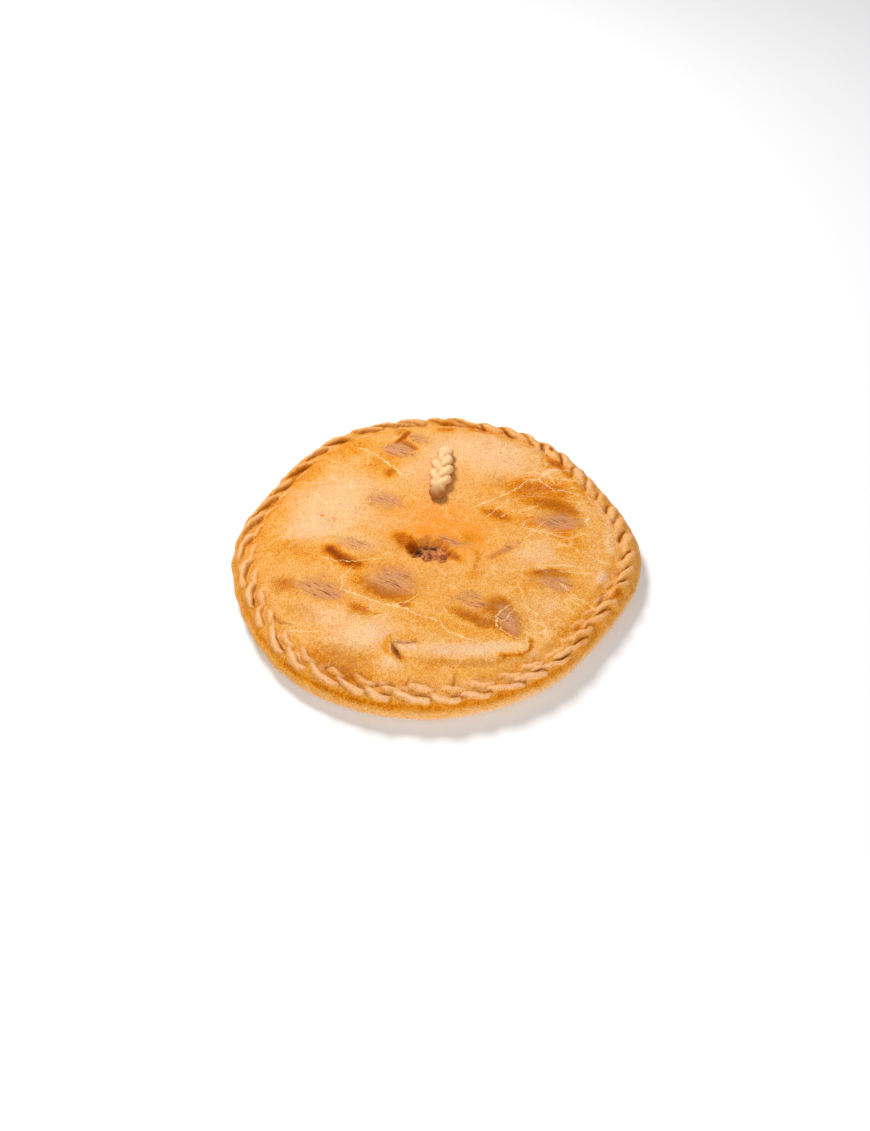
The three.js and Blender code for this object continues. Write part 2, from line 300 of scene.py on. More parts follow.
def listLobes():  # sizes and places of all the lobes, each of the upper row followed by its neighbour inside
    lobes, inner = edgeLobes, edgeLobes["inner"]
    chance = np.random.default_rng(lobes["seed"])
    table = list(zip(*lobes["places"]))
    made = []
    for number in range(lobes["count"]):
        turn = 2 * math.pi * (number + chance.uniform(-0.14, 0.14)) / lobes["count"]
        middle = turn - lobes["crowd"] * math.sin(turn)
        degrees = math.degrees(math.atan2(math.sin(middle), math.cos(middle)))
        plain = [np.interp(degrees, table[0], column) for column in table[1:]]
        slant, reach, height, lean, pale, low = [
            plain[column] * (1 + lobes["uneven"] * chance.uniform(-1, 1)) for column in (0, 1, 3, 4, 5, 6)]
        slant = math.radians(slant)
        place = plain[2] + chance.uniform(-1.2, 1.2)
        room = 2 * math.pi * lobes["line"] / lobes["count"]
        room = room * (1 - lobes["crowd"] * math.cos(turn)) * math.sin(slant)
        room = room * (1 - lobes["slim"] * max(0, -math.cos(middle)))
        bend = lobes["bend"] * (math.cos(middle) + 1.3 * math.sin(middle)) + chance.uniform(-0.2, 0.2)
        width = room * chance.uniform(*lobes["overlap"])
        start = chance.uniform(-0.5, 0.1)
        dark = min(1, chance.uniform(0.4, 1.0) + 0.25 * max(0, math.cos(middle)))
        upper = dict(
            middle=middle, place=place, slant=slant, length=reach / math.sin(slant), width=width,
            height=height, lean=lean, pale=pale, bend=bend, odd=number % 2, start=start, dark=dark)
        lower = dict(
            middle=middle + inner["forward"] / lobes["line"], place=place + inner["inward"],
            slant=math.radians(inner["slant"]), length=inner["length"], width=inner["width"],
            height=height * low, lean=inner["lean"], pale=inner["pale"], bend=bend, odd=1 - number % 2)
        made += [upper, lower]
    return made


def lobeField(angle, across):  # of the highest lobe: height, pale crest (paler dough with painted highlight), lead over its neighbour, crease
    top, under, shape, which, other, even, odd, bulge, stroke = np.zeros((9, len(angle)))
    for number, lobe in enumerate(listLobes()):
        run = runPast(angle, lobe["middle"], edgeLobes["line"])
        offset, lean = across - lobe["place"], lobe["lean"]
        cosine, sine = math.cos(lobe["slant"]), math.sin(lobe["slant"])
        end = (run * cosine - offset * sine) / (lobe["length"] / 2)
        wide = (run * sine + offset * cosine) / (lobe["width"] / 2)
        wide = wide + lobe["bend"] * (end ** 2 - 0.3) - lean
        gentle = 0.5 + 0.5 * np.cos(math.pi * np.clip(wide / (1 + lean), -1, 0))
        steep = np.sqrt(np.clip(1 - (wide / (1 - lean)) ** 2, 0, 1))
        profile = np.where(wide < 0, gentle, steep)
        taper = np.clip(1 - np.abs(end) ** 2.4, 0, 1) ** 0.8
        rise = lobe["height"] * profile * taper
        if number % 2 == 0:
            bulge = np.maximum(bulge, bell((run - 0.36 * lobe["length"] * cosine) / 7))
            # a dark stroke along the crease side of each even lobe: painted shade
            lower = softStep(end, lobe["start"], lobe["start"] + 0.3) * (1 - softStep(end, 0.6, 1.05))
            stroke = np.maximum(stroke, lower * lobe["dark"] * bell((wide - 1.05 + lean) / 0.2))
        higher, second = rise > top, rise > under
        other = np.where(higher, which, np.where(second, number, other))
        under = np.where(higher, top, np.maximum(under, rise))
        pale = lobe["pale"] * softStep(profile, 0.85, 1.0) * softStep(taper, 0.1, 0.6)
        shape = np.where(higher, pale, shape)
        which = np.where(higher, number, which)
        top = np.where(higher, rise, top)
        if lobe["odd"]:
            odd = np.maximum(odd, rise)
        else:
            even = np.maximum(even, rise)
    crease = ((which + other) % edgeLobes["count"]).astype(int)
    return top, shape, even - odd, crease, bulge, stroke


def foldField(angle, section):  # the edge's swelling, pale crests with painted highlight, creases by side and strength for their painted shade, dips, strokes of painted shade
    lobes, step = edgeLobes, 0.3
    across = section * crustShape["millimetresPerDegree"]
    top, shape, lead, number, bulge, stroke = lobeField(angle, across)
    leadRound = lobeField(angle + step / lobes["line"], across)[2]
    leadOver = lobeField(angle, across + step)[2]
    slope = np.hypot(leadRound - lead, leadOver - lead) / step
    lead = lead / np.maximum(slope, 0.25)  # now about the distance from the crease
    right = towards(angle, 0.3) ** 2
    window = softStep(across, 1.5, 6) * (1 - softStep(across, 23 + 4 * right, 29 + 4 * right))
    strength = np.random.default_rng(6).uniform(0.45, 1.0, lobes["count"])[number]
    strength = strength * window * softStep(top, 0.4, 1.2)
    crest = window * shape
    dip = window * (1 - softStep(top, 0.8, 2.4))
    stroke = window * stroke
    swell = window * (top - lobes["sunk"] - lobes["cut"] * strength * bell(lead / 0.7) - 0.6 * stroke)
    outside = softStep(section, -55, -10) * (1 - softStep(section, 35, 75))
    outside = outside * (0.65 - 0.35 * np.cos(angle + 0.9)) * (1 - 0.8 * towards(angle, 0.9) ** 2)
    swell = swell + lobes["scallop"] * outside * (bulge - 0.55)
    for degrees, place, length, width, turn, height in lobes["bits"]:
        run = runPast(angle, math.radians(degrees), lobes["bitLine"])
        spread = ovalDistance(run, across - place, 0, 0, length, width, turn) ** 2
        swell = swell + height * np.exp(-1.4 * spread ** 1.5)
        crest = np.maximum(crest, 0.5 * np.exp(-2 * spread))
    return swell, crest, lead, strength, dip, stroke


def makeRolledEdge():  # the section of the edge and the flat base, spun round
    shape = crustShape
    halfWidth, halfHeight = shape["edgeWidth"] / 2000, shape["edgeHeight"] / 2000
    rollMiddle = shape["radius"] / 1000 - halfWidth
    selectOnly()
    upright = (math.pi / 2, 0, 0)
    bpy.ops.mesh.primitive_circle_add(vertices=shape["sectionPoints"], radius=1, rotation=upright)
    edge = bpy.context.object
    bpy.ops.object.transform_apply(location=True, rotation=True, scale=True)
    setMode("EDIT")
    bpy.ops.mesh.select_mode(type="VERT")
    bpy.ops.mesh.select_all(action="DESELECT")
    setMode("OBJECT")
    for point in edge.data.vertices:  # the part of the section that lies inside the pie
        turn = math.degrees(math.atan2(point.co.z, point.co.x)) % 360
        point.select = shape["valleyAngle"] + 1 < turn < 269
    setMode("EDIT")
    bpy.ops.mesh.delete(type="VERT")
    fitActive((halfWidth, 1, halfHeight), (rollMiddle, 0, halfHeight))
    lowest = min(edge.data.vertices, key=lambda point: point.co.z)
    lowest.select = True
    setMode("EDIT")
    for share in (0.4, 0.6):  # the base, in two steps to the middle
        bpy.ops.mesh.extrude_region_move(TRANSFORM_OT_translate={"value": (-rollMiddle * share, 0, 0)})
    bpy.ops.mesh.select_all(action="SELECT")
    bpy.ops.mesh.spin(steps=shape["lidCells"] * 4, angle=2 * math.pi, center=(0, 0, 0), axis=(0, 0, 1))
    setMode("OBJECT")
    return edge


def makeFlatLid():  # a square grid drawn into a disc
    cells = crustShape["lidCells"]
    selectOnly()
    bpy.ops.mesh.primitive_grid_add(x_subdivisions=cells, y_subdivisions=cells, size=2)
    lid = bpy.context.object
    square = readPoints(lid) / 1000
    x, y = square[:, 0], square[:, 1]
    wide = np.abs(x) >= np.abs(y)
    ratio = np.where(wide, y / np.where(x == 0, 1, x), x / np.where(y == 0, 1, y))
    turn = np.where(wide, ratio * math.pi / 4, math.pi / 2 - ratio * math.pi / 4)
    turn = turn + np.where(np.where(wide, x, y) < 0, math.pi, 0)
    reach = np.maximum(np.abs(x), np.abs(y)) * flatValley
    disc = [reach * np.cos(turn), reach * np.sin(turn), np.full_like(x, valleyHeight)]
    writePoints(lid, np.column_stack(disc))
    return lid


def makeCrustBlank():
    edge = makeRolledEdge()
    selectOnly(edge, makeFlatLid())
    bpy.ops.object.join()
    setMode("EDIT")
    bpy.ops.mesh.select_all(action="SELECT")
    bpy.ops.mesh.remove_doubles(threshold=0.00002)
    bpy.ops.mesh.normals_make_consistent(inside=False)
    setMode("OBJECT")
    bpy.ops.object.shade_smooth()
    edge.name = "crust_baked"
    return edge


# cracks in the glaze: path, half width
longCracks = [
    ([(30, 34), (45, 43), (55, 50), (65, 57), (72, 66), (82, 68), (92, 79), (106, 82)], 0.36),
    ([(82, 67), (92, 55), (100, 55), (116, 50)], 0.32),
    ([(93, 69), (105, 70), (118, 66)], 0.32),
    ([(40, 24), (48, 33), (57, 43)], 0.3),
    ([(50, 24), (60, 31)], 0.25),
    ([(-58, 106), (-52, 103), (-45, 97), (-38, 88), (-30, 80), (-25, 72)], 0.45),
    ([(-52, 102), (-51, 92), (-52, 84)], 0.22),
    ([(-75, 99), (-74, 88)], 0.2),
    ([(-106, 67), (-90, 65)], 0.22),
    ([(-111, 57), (-95, 54), (-80, 48), (-66, 45), (-57, 38)], 0.18),
    ([(-122, -2), (-112, 6), (-100, 6), (-90, 2)], 0.25),
    ([(-80, -18), (-70, -22), (-56, -22), (-40, -20)], 0.3),
    ([(-72, -32), (-76, -20)], 0.25),
    ([(-60, -30), (-66, -38), (-65, -50), (-55, -55), (-45, -60), (-38, -64), (-30, -66), (-20, -63),
      (-12, -56)], 0.36),
    ([(-29, -67), (-18, -69), (-13, -74), (-5, -77), (4, -80), (10, -90), (20, -95), (31, -99)], 0.36),
    ([(44, -84), (43, -76), (47, -70), (57, -62)], 0.3),
    ([(48, -80), (57, -68)], 0.25),
    ([(46, -86), (55, -94), (65, -98)], 0.25),
    ([(-57, -75), (-45, -76), (-38, -75)], 0.25),
    ([(-35, -80), (-34, -72)], 0.2),
    ([(-100, -86), (-88, -88), (-78, -88)], 0.32),
    ([(51, -53), (58, -48), (62, -49), (64, -65), (70, -72), (77, -74)], 0.28),
    ([(91, -44), (97, -51), (106, -59), (115, -67)], 0.28),
    ([(87, -55), (93, -66)], 0.2),
    ([(81, -89), (84, -83), (87, -79)], 0.22),
    ([(95, -88), (99, -89)], 0.2),
    ([(104, -8), (114, -16), (128, -23)], 0.25),
    ([(63, -37), (65, -28), (70, -20)], 0.2),
    ([(84, 20), (76, 10), (68, 2)], 0.2),
]

# marks on the lid, read off the plain dome: x, y, length, width, turn, strength; most are browning, the pale
# ones also hold painted highlight, the olive ones and the amber streaks painted shade
toastMarks = [
    (-57, -4, 34, 15, -22, 0.55), (-29, -41, 42, 27, -25, 0.85), (-84, -46, 42, 23, -15, 0.7),
    (-73, -54, 16, 12, -30, 0.7), (-38, 43, 32, 22, -25, 0.75), (-33, 40, 14, 12, 0, 0.4),
    (-28, 102, 30, 21, -15, 1.0), (-12, 118, 20, 11, -35, 0.8), (93, 20, 40, 20, -10, 0.95),
    (86, -45, 34, 17, -10, 0.75), (25, -62, 34, 18, -12, 0.6), (53, -80, 14, 34, 20, 0.9),
    (30, -43, 26, 14, -10, 0.15), (50, 65, 26, 22, 0, 0.25), (48, 46, 16, 8, -20, 0.35),
    (55, -10, 34, 8, 35, 0.6), (-79, 22, 14, 8, 0, 0.35), (14, -2, 34, 11, -20, 0.65),
    (0, -14, 34, 28, -20, 0.3), (52, 104, 50, 30, -10, 0.15), (-62, -113, 40, 26, -15, 0.25),
]
amberMarks = [
    (-55, -66, 13, 9, -20, 0.65), (-49, -69, 8, 7, 0, 0.6), (-20, -65, 12, 5, -10, 0.75),
    (46, 27, 31, 12, -30, 0.65), (10, 131, 17, 10, 0, 0.6), (39, 130, 22, 9, -30, 0.65),
    (57, 117, 14, 9, -20, 0.35), (95, 87, 18, 15, -30, 0.65), (105, 77, 12, 12, 0, 0.35),
    (82, 61, 54, 18, 3, 0.35), (-33, 73, 10, 12, -20, 0.7), (-23, -2, 22, 17, -40, 0.75),
    (-15, -10, 14, 9, -25, 0.95), (27, 3, 18, 12, -20, 0.5), (14, -18, 20, 10, -35, 0.8),
    (30, -36, 20, 10, 20, 0.3), (-58, -28, 12, 8, -30, 0.5), (12, 141, 16, 7, 0, 0.6),
    (94, 105, 5, 7, 10, 1.0), (107, -18, 2, 2, 0, 1.0), (-84, 27, 3, 3, 0, 0.7),
    (133, -48, 13, 8, 70, 0.6), (125, -67, 13, 8, 62, 0.6), (115, -83, 14, 8, 54, 0.65),
    (105, -97, 14, 8, 47, 0.65), (96, -111, 14, 7, 41, 0.6), (80, -124, 14, 7, 35, 0.5),
]
amberStreaks = [  # path, half width, strength; dark lines, mostly along the lower edges of the swellings: browning with painted shade
    ([(-76, -10), (-69, -17), (-61, -23)], 6.0, 1.0),
    ([(-61, -22), (-54, -26)], 4.0, 0.7),
    ([(-21, 126), (-24, 119), (-29, 112)], 3.2, 0.8),
    ([(-24, 113), (-19, 109), (-15, 104)], 3.2, 0.8),
    ([(46, -109.5), (59, -108), (65, -104), (67, -97)], 2.2, 0.7),
    ([(42, -19), (50, -13), (57, -9)], 2.6, 0.5),
    ([(-30, -94), (-33, -99), (-33, -104), (-30, -109), (-24, -113), (-18, -114)], 2.6, 0.4),
    ([(31, -13), (32, -21), (29, -30)], 2.0, 0.35),
    ([(14, -72), (30, -78), (44, -84), (57, -95)], 3.0, 0.35),
    ([(-45, -47), (-38, -54), (-24, -59), (-14, -57)], 4.0, 0.3),
    ([(73, -34), (80, -31), (88, -31)], 1.6, 0.5),
    ([(-22, -95), (-14, -95.5)], 2.4, 0.25),
]
# dark olive brown, mostly on the front faces of the steps and swells: browning with painted shade
oliveMarks = [
    (98, 33, 28, 17, -25, 0.85), (82, 38, 24, 13, 10, 0.6), (84, -35, 32, 12, -5, 0.95),
    (-107, -44, 20, 17, 0, 0.65), (-62, -113, 46, 32, -15, 0.5), (-60, -121, 9, 7, 0, 0.5),
    (-52, -127, 20, 9, 0, 0.4), (47, -67, 24, 22, 30, 1.0), (33, -79, 50, 11, -24, 0.9),
    (-36, -51, 40, 17, -28, 0.8), (-27, 127, 15, 13, 0, 0.55), (-78, -106, 20, 20, 0, 0.15),
    (20, -2, 18, 9, -10, 0.45), (20, -117, 76, 8, 0, 0.2), (-48, -73, 22, 7, 0, 0.5),
    (110, -84, 20, 16, -40, 0.2), (-95, -70, 30, 16, -20, 0.3), (95, 24, 30, 16, -15, 0.3),
    (51, -76, 16, 26, 20, 0.6),
]
# pale places: less browned dough with painted highlight
paleMarks = [
    (-72, 42, 84, 62, 30, 0.65), (48, 98, 72, 56, -20, 0.7), (10, 105, 46, 36, 0, 0.5),
    (122, -35, 10, 15, 10, 1.0), (-48, -92, 48, 27, 15, 0.85), (-28, -117, 22, 15, 0, 0.8),
    (28, -104, 82, 13, 2, 0.9), (-90, 14, 56, 30, 0, 0.7), (75, -15, 44, 26, 10, 0.5),
    (82, -62, 44, 26, 0, 0.3), (114, 0, 20, 44, 0, 0.15), (-75, -72, 48, 24, -20, 0.5),
    (70, -110, 16, 16, 0, 0.35), (116, 42, 12, 28, 30, 0.4), (-10, 80, 40, 40, 0, 0.4),
    (-55, -3, 36, 18, -22, 0.5), (-30, 18, 40, 20, 0, 0.3),
]
goldMarks = [
    (83, 50, 80, 32, -3, 1.0), (-100, 78, 40, 30, 50, 0.65), (-66, 105, 46, 26, 25, 0.7),
    (-118, 15, 30, 80, 0, 0.5), (-42, 80, 34, 34, -30, 0.6), (20, -86, 60, 16, -12, 0.35),
    (-56, -41, 18, 18, 0, 0.5), (97, -72, 34, 50, 0, 0.35), (-60, -24, 70, 20, -10, 0.4),
    (60, 20, 50, 20, -10, 0.6), (0, -50, 60, 24, 0, 0.1), (62, -45, 24, 40, 0, 0.4),
    (-5, -80, 40, 20, -20, 0.3), (102, 0, 30, 34, 0, 0.75), (-100, -10, 40, 24, 0, 0.5),
    (0, -124, 80, 14, 0, 0.2),
]
paleStreaks = [  # path, half width, strength
    ([(80, 110), (97, 97), (111, 81), (124, 47), (131, 23), (131, -8)], 4.0, 0.75),
    ([(-22, -103), (-14, -104)], 5.0, 0.7),
]
oilStain = (6, 8, 92, 66, -15, 0.95)
bakeLevels = dict(  # browning from 0 to 1: of the lid, the edge and amber places, and what the rest adds; the band under the lobes adds painted shade and the pale marks painted highlight
    lid=0.36, edge=0.32, amber=0.95,
    dip=0.13, pale=-0.36, gold=0.31, olive=0.34, underLobeShade=0.28, flank=0.07, around=0.15, front=0.06,
)
crustRipples = dict(  # wave, ripple and grain: their sizes, then what each adds
    sizes=(26, 9, 3.5),
    edge=(0.7, 0.3, 0.08),
    lid=(0.4, 0.28, 0.09),
    lobes=(0, 0.016, 0.007),  # radians along the edge
    marks=(3.5, 2.5, 1.2),
)


def markField(x, y, drift, marks):  # large marks wander more than small ones
    field = np.zeros_like(x)
    for *oval, strength in marks:
        share = min(1, oval[3] / 16)
        spread = ovalDistance(x + share * drift[0], y + share * drift[1], *oval)
        field = 1 - (1 - field) * (1 - strength * (1 - softStep(spread, 0.2, 1.45)))
    return field


def streakField(x, y, streaks):
    field = np.zeros_like(x)
    for path, width, strength in streaks:
        near = pathDistance(x, y, path)[0]
        field = np.maximum(field, strength * (1 - softStep(near / width, 0.1, 1.5)))
    return field


def cutShadeField(x, y):  # painted shade in the cuts and wrinkles
    field = np.zeros_like(x)
    for path, width, depth, dark in lidCreases:
        field = np.maximum(field, dark * bell(pathDistance(x, y, path)[0] / width))
    return field


def crackField(x, y, onLid):  # distance to the nearest long crack, then with its side, and its half width
    near, side, wide = np.full_like(x, 50), np.full_like(x, 50), np.zeros_like(x)
    for path, width in longCracks:
        pathNear, pathSide = pathDistance(x, y, path)
        closer = (pathNear < near) & onLid
        near = np.where(closer, pathNear, near)
        side = np.where(closer, pathSide, side)
        wide = np.where(closer, width, wide)
    return near, side, wide


def sculptCrust(piece):
    shape, levels = crustShape, bakeLevels
    blank = readPoints(piece)
    x, y, z = blank.T
    angle, away = np.arctan2(y, x), np.hypot(x, y)
    halfWidth, halfHeight = shape["edgeWidth"] / 2, shape["edgeHeight"] / 2
    rollMiddle = shape["radius"] - halfWidth
    slack = 0.02
    onLid = (np.abs(z - valleyHeight) < slack) & (away < flatValley + slack)
    onBase = (z < slack) & (away < rollMiddle + slack)
    section = np.degrees(np.arctan2((z - halfHeight) / halfHeight, (away - rollMiddle) / halfWidth))
    inward = (flatValley - away) / shape["millimetresPerDegree"]
    section = np.where(onLid, shape["valleyAngle"] + inward, np.where(onBase, -90, section))
    turn = np.radians(section)
    outline = outlineRadius(angle)
    ripples = np.array([noiseAt(blank, size, seed) for seed, size in enumerate(crustRipples["sizes"], 1)])
    ripple, grain = ripples[1:]

    # the lobes, with ragged borders, push the roll out and up
    ragged = angle + np.dot(crustRipples["lobes"], ripples), section + 9 * noiseAt(blank, 7, 6)
    swell, crest, lead, creaseStrength, dip, stroke = foldField(*ragged)
    inner = -0.35 * np.sin(np.radians(np.clip(section - 90, 0, 60) * 1.5))
    lean = np.where(section < 90, np.cos(turn), inner)
    lift = np.where(section < 0, np.sin(turn), np.sqrt(1 - lean ** 2))
    side = (1 - np.exp(-z / 3)) * ~onLid * ~onBase
    swell = swell + side * np.dot(crustRipples["edge"], ripples)

    # new places on the edge, the lid and the base
    edgeAway = outline + halfWidth * (np.cos(turn) - 1) + swell * lean
    edgeTop = np.maximum(0, halfHeight * (1 + np.sin(turn)) + swell * lift)
    lidAway = away / flatValley * valleyRadius(angle) + swell * lean
    lidX, lidY = lidAway * np.cos(angle), lidAway * np.sin(angle)
    flat = 1 - softStep(away / flatValley, 0.93, 1.0)
    lidTop = lidHeight(lidX, lidY) + swell * lift + flat * np.dot(crustRipples["lid"], ripples)
    baseAway = away / rollMiddle * (outline - halfWidth)
    newAway = np.where(onLid, lidAway, np.where(onBase, baseAway, edgeAway))
    newTop = np.where(onLid, lidTop, np.where(onBase, 0, edgeTop))
    points = np.column_stack([newAway * np.cos(angle), newAway * np.sin(angle), newTop])
    middle = -(points.min(0) + points.max(0)) / 2
    middle[2] = 0
    writePoints(piece, points + middle)

    # marks with wandering borders, shifted by the relief since they were read off a plain dome
    markX = newAway * np.cos(angle)
    markY = newAway * np.sin(angle) + np.where(onLid, lidTop - domeHeight(lidX, lidY)[0], 0)
    driftY = 3.5 * noiseAt(blank, 24, 4) + 2.5 * noiseAt(blank, 8, 5)
    drift = np.dot(crustRipples["marks"], ripples), driftY
    halos = [(x, y - 3, length * 1.35, width * 1.35, *rest) for x, y, length, width, *rest in toastMarks]
    amber, pale, gold, olive, toast, around, stain = [
        markField(markX, markY, drift, marks)
        for marks in (amberMarks, paleMarks, goldMarks, oliveMarks, toastMarks, halos, [oilStain])]
    amber = np.maximum(amber, streakField(markX + 1.5 * ripple, markY + 1.0 * grain, amberStreaks))
    pale = np.maximum(pale, streakField(markX + drift[0], markY + drift[1], paleStreaks))

    # browning, with painted highlight from the pale marks and painted shade from the olive marks, the amber
    # streaks, the band under the lobes and round the vent
    above = softStep(section, 25, 70)
    onEdge = 1 - softStep(section, 120, 150)
    front = towards(angle, -math.pi / 2)
    rolled = levels["edge"] - levels["lid"] - levels["front"] * front
    bake = levels["lid"] + rolled * onEdge + levels["dip"] * dip
    bake = bake + above * levels["pale"] * pale * (1 - 0.7 * onEdge)
    bake = bake + above * (levels["gold"] * gold + levels["olive"] * olive + levels["around"] * around)
    bake = bake + above * amber * np.maximum(0, levels["amber"] - bake)
    # painted shade: a darker band round the outside of the edge under the lobes, strongest at the front
    underLobeShade = bell((section - 34) / 17) * ~onLid * (1 - 0.8 * crest) * towards(angle, -1.66) ** 1.5
    flank = (1 - softStep(section, 40, 75)) * towards(angle, math.pi) * ~onLid
    bake = bake + levels["underLobeShade"] * underLobeShade * (1 + 0.3 * ripple) + levels["flank"] * flank
    # painted shadow: a dark rim round the filling at the bottom of the vent
    shadedPit = onLid * (1 - softStep(ventDistance(lidX, lidY), 0.55, 0.9))

    # the pale foot, floury dough with painted bounce light: palest at the front and the left, and higher on
    # the near right
    bounceLit = 0.5 + 0.5 * np.cos(angle + 1.9)
    outer = towards(angle, -0.4) ** 2
    foot = (1 - softStep(section, -52, 28 * outer - 4)) * (0.35 + 0.7 * bounceLit) * ~onLid

    crackNear, crackSide, crackWidth = crackField(markX, markY, onLid)
    paintMasks(
        piece,
        bake=np.clip(np.maximum(bake, 0.97 * shadedPit), 0, 1),
        toast=above * toast,
        olive=above * olive,
        stain=above * stain,
        # the crests: paler dough with painted highlight
        blush=crest,
        foot=foot,
        foldSide=lead,
        # painted shade in the creases between the lobes, in the cuts and wrinkles, and along the strokes
        foldDark=creaseStrength,
        crease=np.clip(np.maximum(onLid * cutShadeField(lidX, lidY), 0.62 * stroke), 0, 1),
        inside=onLid * (1 - softStep(away / flatValley, 0.9, 0.97)),
        crackNear=crackNear,
        crackSide=crackSide,
        crackWidth=crackWidth,
    )
    return middle


crustPiece = makeCrustBlank()
print("crust blank:", len(crustPiece.data.polygons), "faces")
pieMiddle = sculptCrust(crustPiece)
print("crust sculpted, moved by", [round(float(value), 2) for value in pieMiddle], "mm")


def lidPoint(x, y, above=0.0):  # a place on the lid, in the frame's metres
    return (x + pieMiddle[0]) / 1000, (y + pieMiddle[1]) / 1000, (lidTopAt(x, y) + above) / 1000


def turnedPlace(points, settings):  # where the points of a small piece come to lie on the lid
    turn = math.radians(settings["turn"])
    x = settings["x"] + points[:, 0] * math.cos(turn) - points[:, 1] * math.sin(turn)
    y = settings["y"] + points[:, 0] * math.sin(turn) + points[:, 1] * math.cos(turn)
    return x, y


# filling: the cooked lumps that show in the vent

fillingLumps = dict(
    x=-0.5, y=-10, length=29, width=22, turn=-20,
    level=-5.2,  # below the lid round the vent
    lumps=[(7.0, 1.6, 7), (3.2, 1.8, 8), (1.4, 0.8, 9)],  # size, height, seed
    pits=[(-5, -3, 9, 5), (-4, -18.5, 11, 6.0), (-11, -6, 8, 6)],  # dark holes, painted shade over a small dip: x, y, length, width
    pitTurn=-10,
    pitDepth=1.6,
    thick=6.0,
)


def makeFilling():
    heap = fillingLumps
    halfLength, halfWidth = heap["length"] / 2, heap["width"] / 2
    selectOnly()
    bpy.ops.mesh.primitive_ico_sphere_add(subdivisions=6, radius=1)
    piece = bpy.context.object
    fitActive((halfLength / 1000, halfWidth / 1000, heap["thick"] / 1000))
    points = readPoints(piece)
    x, y = turnedPlace(points, heap)
    flat = np.column_stack([x, y, 0 * x])
    border = softStep(np.hypot(points[:, 0] / halfLength, points[:, 1] / halfWidth), 0.65, 1.0)
    rise = sum(height * noiseAt(flat, size, seed) for size, height, seed in heap["lumps"])
    rise = rise * (1 - 0.7 * border)
    hole = np.zeros_like(x)
    for shadedPit in heap["pits"]:
        hole = np.maximum(hole, np.exp(-1.5 * ovalDistance(x, y, *shadedPit, heap["pitTurn"]) ** 2))
    level = lidTopAt(heap["x"], heap["y"]) + steamVent["depth"] + heap["level"]
    share = points[:, 2] / heap["thick"]
    top = 2.5 * np.clip(share, 0, 1) ** 0.3 + rise - heap["pitDepth"] * hole
    z = level - 2.0 + np.where(share > 0, softStep(share, 0.02, 0.4) * top, points[:, 2] * 0.5)
    writePoints(piece, np.column_stack([x, y, z]) + pieMiddle)
    bpy.ops.object.shade_smooth()
    piece.name = "filling_cooked"
    # painted shade in the holes, between the lumps and round the border
    paintMasks(piece, hollow=np.clip(hole + 0.7 * softStep(-rise, 0.2, 1.2) + 0.6 * border, 0, 1))
    return piece


fillingPiece = makeFilling()
print("filling made")


# plait: three rolled strands of dough laid on the lid

plaitStrands = dict(
    x=6, y=69, length=46, turn=82,
    swing=5.8, lift=2.2,  # to the sides and up
    turns=1.3,
    gathered=0.34,  # share of the length over which they close up at each end
    radius=3.6,
    sink=1.0,
    pinch=(6.0, 6.6, 4.2),  # half sizes of the pressed ends
    voxel=0.0004,
)


def makeStrand(number):
    plait = plaitStrands
    selectOnly()
    bpy.ops.curve.primitive_nurbs_path_add(radius=0.01)
    curve = bpy.context.object
    setMode("EDIT")
    bpy.ops.curve.select_all(action="SELECT")
    bpy.ops.curve.subdivide(number_cuts=7)
    setMode("OBJECT")
    spline = curve.data.splines[0]
    spline.use_endpoint_u = True
    last = len(spline.points) - 1
    for index, point in enumerate(spline.points):
        share = index / last
        phase = share * 2 * math.pi * plait["turns"] + 2 * math.pi * number / 3
        gather = 0.2 + 0.8 * float(softStep(min(share, 1 - share), 0, plait["gathered"]))
        x = (share - 0.5) * plait["length"]
        y = gather * plait["swing"] * math.sin(phase)
        z = gather * plait["lift"] * math.sin(2 * phase)
        point.co = (x / 1000, y / 1000, z / 1000, 1)
        point.radius = 1.0 - 0.12 * abs(2 * share - 1)
    curve.data.bevel_depth = plait["radius"] / 1000
    curve.data.bevel_resolution = 6
    curve.data.use_fill_caps = True
    bpy.ops.object.convert(target="MESH")
    return bpy.context.object


def makePressedEnd(end):
    selectOnly()
    bpy.ops.mesh.primitive_uv_sphere_add(segments=32, ring_count=20, radius=1)
    place = (end * plaitStrands["length"] / 1000, 0, 0)
    fitActive([size / 1000 for size in plaitStrands["pinch"]], place)
    return bpy.context.object


def makePlait():
    plait = plaitStrands
    strands = [makeStrand(number) for number in range(3)]
    selectOnly(*strands, *[makePressedEnd(end) for end in (-0.5, 0.5)])
    bpy.ops.object.join()
    piece = bpy.context.object
    applyModifier(piece, "REMESH", mode="VOXEL", voxel_size=plait["voxel"])
    applyModifier(piece, "SMOOTH", factor=0.5, iterations=4)
    points = readPoints(piece)
    x, y = turnedPlace(points, plait)
    lid = lidHeight(x, y)
    z = lidTopAt(plait["x"], plait["y"]) + plait["radius"] + plait["lift"] - plait["sink"] + points[:, 2]
    flat = np.column_stack([x, y, z])
    z = z + 0.25 * noiseAt(flat, 6, 12) + 0.08 * noiseAt(flat, 2, 13)
    z = np.maximum(z, lid + 0.3)
    writePoints(piece, np.column_stack([x, y, z]) + pieMiddle)
    bpy.ops.object.shade_smooth()
    # the toast mask: the browned foot, and painted shade where the strands lie close to the lid; crown: the
    # upper side painted lighter, as lit from above
    foot = softStep(-points[:, 0], 14, 27) * 0.9
    contactShade = 1 - softStep(z - lid, 0.6, 3.2)
    paintMasks(piece, toast=np.clip(foot + 0.75 * contactShade, 0, 1), crown=softStep(points[:, 2], 0.5, 4.5))
    piece.name = "plait_rolled"
    return piece


plaitPiece = makePlait()
print("plait made:", len(plaitPiece.data.polygons), "faces")


